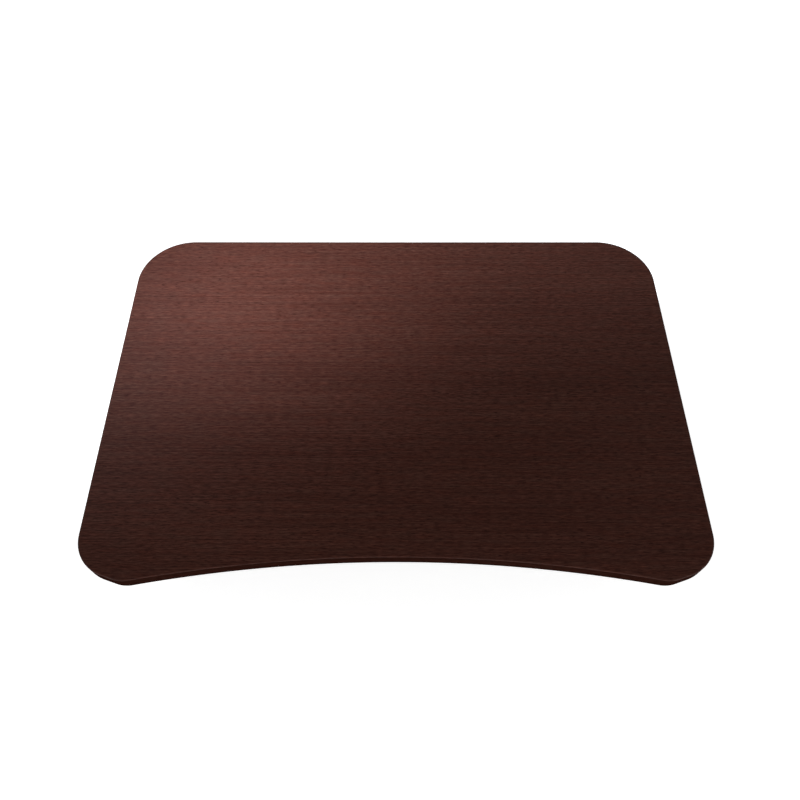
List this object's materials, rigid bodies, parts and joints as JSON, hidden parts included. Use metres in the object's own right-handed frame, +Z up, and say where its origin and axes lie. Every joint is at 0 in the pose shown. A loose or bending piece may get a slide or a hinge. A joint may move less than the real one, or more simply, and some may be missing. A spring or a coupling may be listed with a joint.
{
  "type": "standing desk converter",
  "caption": "Low wooden desktop riser with a wave-shaped front edge on a flat scissor lift, lowered; squeeze handles under the sides free the lift.",
  "frame": {"origin": "centre of the overall footprint, on the surface that the rubber feet stand on", "axes": "+X to the user's right along the board's width, -Y towards the user (the wave-shaped edge), +Z up"},
  "size_m": [0.6984, 0.4826, 0.115],
  "materials": {
    "wood_wrap": "satin dark mahogany-look foil with fine straight grain along the width",
    "core": "raw fibreboard",
    "backer": "matt dark brown balancing foil",
    "black_steel": "fine-textured black powder coat",
    "black_plastic": "moulded, lightly textured",
    "zinc": "bright zinc plate",
    "spring_steel": "oiled spring wire",
    "brass": "plain",
    "bronze": "sintered, oil-filled",
    "nylon": "natural nylon",
    "rubber": "matt"
  },
  "bodies": {
    "base": {"base_rail_left": "black_steel", "base_rail_right": "black_steel", "base_end_caps": "black_plastic", "base_plate_front": "black_steel", "base_plate_rear": "black_steel", "rubber_feet": "rubber", "base_screws": "zinc", "base_pivot_bolts": "zinc", "base_pivot_spacers": "zinc", "spring_brackets": "black_steel", "spring_shaft": "zinc", "spring_collars": "zinc", "lift_springs": "spring_steel"},
    "outer_arms": {"outer_arm_left": "black_steel", "outer_arm_right": "black_steel", "outer_crossbar": "black_steel", "upper_axle": "zinc", "upper_axle_clips": "spring_steel", "centre_shaft": "zinc", "centre_nuts": "zinc", "centre_washers": "nylon"},
    "inner_arms": {"inner_arm_left": "black_steel", "inner_arm_right": "black_steel", "inner_crossbar": "black_steel", "lower_axle": "zinc", "lower_axle_clips": "spring_steel", "centre_bushes": "bronze"},
    "desktop": {"wood_wrap": "wood_wrap", "board_core": "core", "underside_backer": "backer", "board_inserts": "brass", "top_rail_left": "black_steel", "top_rail_right": "black_steel", "top_end_caps": "black_plastic", "top_rail_screws": "zinc", "board_brace": "black_steel", "brace_screws": "zinc", "top_pivot_bolts": "zinc", "top_pivot_spacers": "zinc", "shaft_brackets": "black_steel", "clamp_brackets": "black_steel", "bracket_screws": "zinc", "clamp_pins": "zinc", "backing_pads": "nylon", "return_springs": "spring_steel"},
    "upper_roller_left": {"upper_roller_left": "nylon"},
    "upper_roller_right": {"upper_roller_right": "nylon"},
    "lower_roller_left": {"lower_roller_left": "nylon"},
    "lower_roller_right": {"lower_roller_right": "nylon"},
    "lock_bars": {"lock_bar_left": "zinc", "lock_bar_right": "zinc"},
    "release": {"release_shaft": "zinc", "release_cranks": "black_steel", "release_handle_left": "black_plastic", "release_handle_right": "black_plastic"},
    "link_rods": {"link_rod_left": "zinc", "link_rod_right": "zinc"},
    "clamp_levers": {"clamp_lever_left": "black_steel", "clamp_lever_right": "black_steel"}
  },
  "joints": [
    {"name": "lift", "type": "hinge", "parent": "base", "child": "outer_arms", "pos_m": [0, 0.219, 0.02], "axis": [-1, 0, 0], "range_deg": [0, 51.55], "deforming": ["lift_springs"]},
    {"name": "scissor", "type": "hinge", "parent": "outer_arms", "child": "inner_arms", "pos_m": [0, 0.02664, 0.052], "axis": [-1, 0, 0], "range_deg": [-103.1, 0]},
    {"name": "top_pivot", "type": "hinge", "parent": "inner_arms", "child": "desktop", "pos_m": [0, 0.219, 0.084], "axis": [-1, 0, 0], "range_deg": [0, 51.55]},
    {"name": "lock_bar_turn", "type": "hinge", "parent": "outer_arms", "child": "lock_bars", "pos_m": [0, -0.16571, 0.084], "axis": [-1, 0, 0], "range_deg": [-51.55, 0]},
    {"name": "upper_roller_left_spin", "type": "hinge", "parent": "outer_arms", "child": "upper_roller_left", "pos_m": [-0.283, -0.16571, 0.084], "axis": [1, 0, 0], "continuous": true},
    {"name": "upper_roller_right_spin", "type": "hinge", "parent": "outer_arms", "child": "upper_roller_right", "pos_m": [0.283, -0.16571, 0.084], "axis": [1, 0, 0], "continuous": true},
    {"name": "lower_roller_left_spin", "type": "hinge", "parent": "inner_arms", "child": "lower_roller_left", "pos_m": [-0.283, -0.16571, 0.02], "axis": [1, 0, 0], "continuous": true},
    {"name": "lower_roller_right_spin", "type": "hinge", "parent": "inner_arms", "child": "lower_roller_right", "pos_m": [0.283, -0.16571, 0.02], "axis": [1, 0, 0], "continuous": true},
    {"name": "release", "type": "hinge", "parent": "desktop", "child": "release", "pos_m": [0, -0.198, 0.074], "axis": [1, 0, 0], "range_deg": [0, 7.5], "stiffness_Nm_per_rad": 6, "springref_deg": -8.59},
    {"name": "link_slide", "type": "slide", "parent": "desktop", "child": "link_rods", "axis": [0, 1, 0], "range_m": [0, 0.0016]},
    {"name": "clamp_pivot", "type": "hinge", "parent": "desktop", "child": "clamp_levers", "pos_m": [0, 0.058, 0.08], "axis": [1, 0, 0], "range_deg": [0, 5.01]}
  ],
  "couplings": [
    {"joint": "scissor", "follows": "lift", "ratio": -2},
    {"joint": "top_pivot", "follows": "lift", "ratio": 1},
    {"joint": "lock_bar_turn", "follows": "lift", "ratio": -1},
    {"joint": "link_slide", "follows": "release", "m_per_rad": 0.012},
    {"joint": "clamp_pivot", "follows": "release", "ratio": 0.66667}
  ]
}
